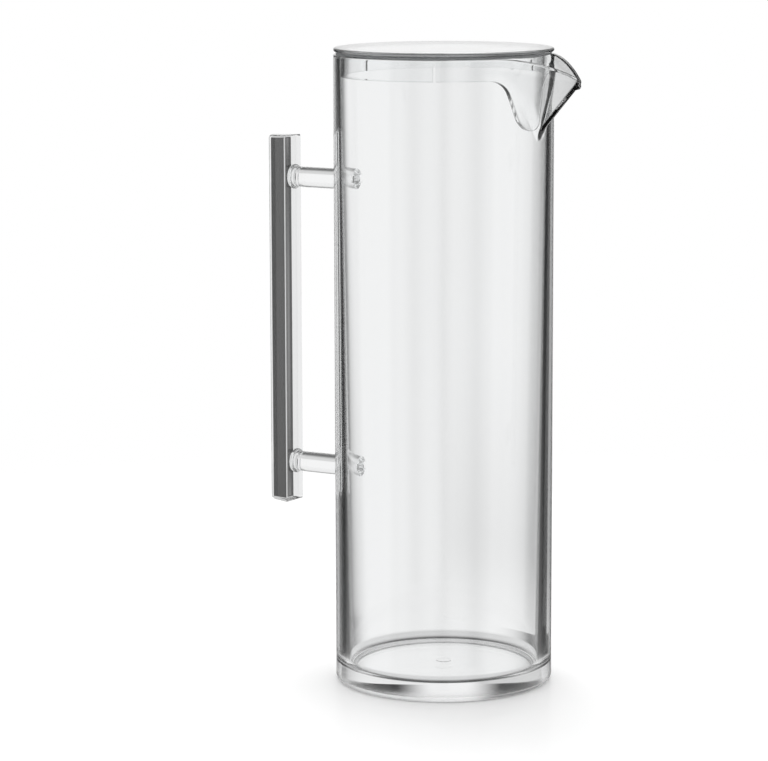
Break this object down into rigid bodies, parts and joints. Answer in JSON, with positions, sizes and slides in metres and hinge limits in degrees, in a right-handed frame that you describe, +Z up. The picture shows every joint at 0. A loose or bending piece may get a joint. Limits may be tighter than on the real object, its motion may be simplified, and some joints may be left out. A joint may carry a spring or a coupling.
{
  "type": "carafe",
  "caption": "Tall straight clear carafe with a beak spout, a lift-out lid whose tongue closes the spout, and an upright bar handle held on posts.",
  "frame": {"origin": "centre of the foot on the plane that the vessel stands on, on the axis of the round wall", "axes": "+Z up along the vessel's axis, +X from the axis towards the spout, the handle towards -X"},
  "size_m": [0.1636, 0.1, 0.292],
  "materials": {
    "clear_acrylic": "polished clear acrylic",
    "soft_seal": "translucent silicone"
  },
  "bodies": {
    "carafe": {"vessel": "clear_acrylic", "handle_bar": "clear_acrylic", "upper_post": "clear_acrylic", "lower_post": "clear_acrylic"},
    "seal_ring": {"lid_seal": "soft_seal"},
    "lid": {"lid": "clear_acrylic"}
  },
  "joints": [
    {"name": "lid_lift", "type": "slide", "parent": "carafe", "child": "seal_ring", "axis": [0, 0, 1], "range_m": [0, 0.06]},
    {"name": "lid_turn", "type": "hinge", "parent": "seal_ring", "child": "lid", "pos_m": [0, 0, 0.2901], "axis": [0, 0, 1], "continuous": true}
  ]
}
